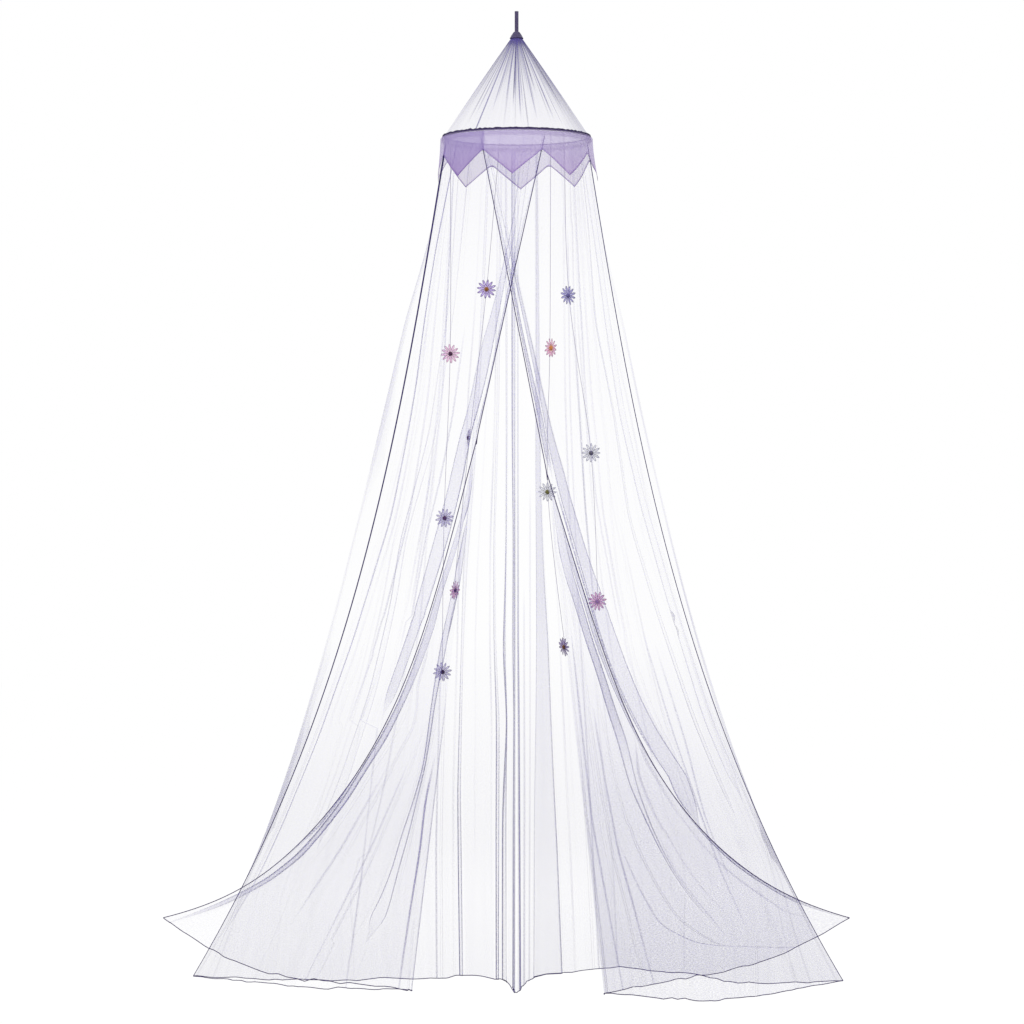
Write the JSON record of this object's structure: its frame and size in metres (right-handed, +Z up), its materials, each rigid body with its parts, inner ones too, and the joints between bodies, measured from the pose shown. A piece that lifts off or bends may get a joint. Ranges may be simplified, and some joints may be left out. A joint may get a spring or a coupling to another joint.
{
  "type": "bed crown canopy",
  "caption": "Ceiling-hung bed canopy: tape loop, cap, net cone, cloth-covered hoop with zigzag valance, sheer net skirt with fold-back wings, hanging daisies on threads.",
  "frame": {"origin": "the point of the hanging loop that rests on the ceiling hook", "axes": "+Z up along the hanging axis, +X to the right of someone facing the entrance, -Y towards that person"},
  "size_m": [1.7933, 0.5376, 2.6222],
  "materials": {
    "tape": "woven polyester tape, matt",
    "disc": "plain board",
    "cap_cloth": "dense woven cloth, matt",
    "roof_net": "sheer gathered net",
    "hoop": "extruded tube",
    "joiner": "moulded sleeve",
    "casing_cloth": "gathered cloth",
    "valance_cloth": "sheer voile with a doubled hem",
    "skirt_net": "very sheer net with overlocked edges",
    "thread": "fine cord",
    "petal_violet": "cut cloth petals",
    "petal_pink": "cut cloth petals",
    "petal_lavender": "cut cloth petals",
    "flower_centre": "dense looped pile"
  },
  "bodies": {
    "canopy": {"hanging_loop": "tape", "anchor_disc": "disc", "crown_cap": "cap_cloth", "roof_net": "roof_net", "hoop_front": "hoop", "hoop_back": "hoop", "joiner_left": "joiner", "joiner_right": "joiner", "hoop_casing": "casing_cloth", "valance": "valance_cloth", "net_back_left": "skirt_net", "net_back_right": "skirt_net", "net_front_left": "skirt_net", "net_front_right": "skirt_net"},
    "left_wing": {"flap_left": "skirt_net"},
    "right_wing": {"flap_right": "skirt_net"},
    "garland_a": {"garland_a": "thread"},
    "daisy_03": {"flower_03": "petal_pink", "button_03": "flower_centre"},
    "daisy_08": {"flower_08": "petal_lavender", "button_08": "flower_centre"},
    "daisy_12": {"flower_12": "petal_lavender", "button_12": "flower_centre"},
    "garland_b": {"garland_b": "thread"},
    "daisy_01": {"flower_01": "petal_violet", "button_01": "flower_centre"},
    "daisy_05": {"flower_05": "petal_lavender", "button_05": "flower_centre"},
    "daisy_09": {"flower_09": "petal_pink", "button_09": "flower_centre"},
    "garland_c": {"garland_c": "thread"},
    "daisy_04": {"flower_04": "petal_pink", "button_04": "flower_centre"},
    "daisy_07": {"flower_07": "petal_lavender", "button_07": "flower_centre"},
    "daisy_11": {"flower_11": "petal_violet", "button_11": "flower_centre"},
    "garland_d": {"garland_d": "thread"},
    "daisy_02": {"flower_02": "petal_violet", "button_02": "flower_centre"},
    "daisy_06": {"flower_06": "petal_lavender", "button_06": "flower_centre"},
    "daisy_10": {"flower_10": "petal_pink", "button_10": "flower_centre"}
  },
  "joints": [
    {"name": "left_wing_fold", "type": "hinge", "parent": "canopy", "child": "left_wing", "pos_m": [-0.1, -0.166, -1.117], "axis": [0.1187, -0.0576, 0.9913], "range_deg": [0, 173]},
    {"name": "right_wing_fold", "type": "hinge", "parent": "canopy", "child": "right_wing", "pos_m": [0.0755, -0.156, -1.208], "axis": [0.1105, 0.0169, -0.9937], "range_deg": [0, 194]},
    {"name": "garland_a_swing", "type": "hinge", "parent": "canopy", "child": "garland_a", "pos_m": [-0.173, -0.05007, -0.338], "axis": [1, 0, 0], "range_deg": [0, 9]},
    {"name": "daisy_03_spin", "type": "hinge", "parent": "garland_a", "child": "daisy_03", "pos_m": [-0.174, -0.042, -0.902], "axis": [0.0195, -0.0141, 0.9997], "continuous": true},
    {"name": "daisy_08_spin", "type": "hinge", "parent": "garland_a", "child": "daisy_08", "pos_m": [-0.19, -0.036, -1.332], "axis": [0.0248, -0.0119, 0.9996], "continuous": true},
    {"name": "daisy_12_spin", "type": "hinge", "parent": "garland_a", "child": "daisy_12", "pos_m": [-0.195, -0.032, -1.735], "axis": [0.0123, -0.0099, 0.9999], "continuous": true},
    {"name": "garland_b_swing", "type": "hinge", "parent": "canopy", "child": "garland_b", "pos_m": [-0.042, -0.17513, -0.338], "axis": [1, 0, 0], "range_deg": [0, 9]},
    {"name": "daisy_01_spin", "type": "hinge", "parent": "garland_b", "child": "daisy_01", "pos_m": [-0.078, -0.132, -0.739], "axis": [0.1013, -0.0739, 0.9921], "continuous": true},
    {"name": "daisy_05_spin", "type": "hinge", "parent": "garland_b", "child": "daisy_05", "pos_m": [-0.122, -0.116, -1.124], "axis": [0.1083, -0.0432, 0.9932], "continuous": true},
    {"name": "daisy_09_spin", "type": "hinge", "parent": "garland_b", "child": "daisy_09", "pos_m": [-0.163, -0.098, -1.519], "axis": [0.1031, -0.0453, 0.9936], "continuous": true},
    {"name": "garland_c_swing", "type": "hinge", "parent": "canopy", "child": "garland_c", "pos_m": [0.088, -0.15714, -0.338], "axis": [1, 0, 0], "range_deg": [0, 9]},
    {"name": "daisy_04_spin", "type": "hinge", "parent": "garland_c", "child": "daisy_04", "pos_m": [0.086, -0.13, -0.891], "axis": [0.0086, -0.0446, 0.999], "continuous": true},
    {"name": "daisy_07_spin", "type": "hinge", "parent": "garland_c", "child": "daisy_07", "pos_m": [0.081, -0.115, -1.264], "axis": [-0.0489, -0.0534, 0.9974], "continuous": true},
    {"name": "daisy_11_spin", "type": "hinge", "parent": "garland_c", "child": "daisy_11", "pos_m": [0.126, -0.088, -1.667], "axis": [-0.1114, -0.0666, 0.9915], "continuous": true},
    {"name": "garland_d_swing", "type": "hinge", "parent": "canopy", "child": "garland_d", "pos_m": [0.122, -0.13248, -0.338], "axis": [1, 0, 0], "range_deg": [0, 9]},
    {"name": "daisy_02_spin", "type": "hinge", "parent": "garland_d", "child": "daisy_02", "pos_m": [0.136, -0.103, -0.753], "axis": [-0.0871, -0.0706, 0.9937], "continuous": true},
    {"name": "daisy_06_spin", "type": "hinge", "parent": "garland_d", "child": "daisy_06", "pos_m": [0.194, -0.074, -1.162], "axis": [-0.0935, -0.0428, 0.9947], "continuous": true},
    {"name": "daisy_10_spin", "type": "hinge", "parent": "garland_d", "child": "daisy_10", "pos_m": [0.212, -0.068, -1.549], "axis": [-0.0459, -0.0151, 0.9988], "continuous": true}
  ]
}
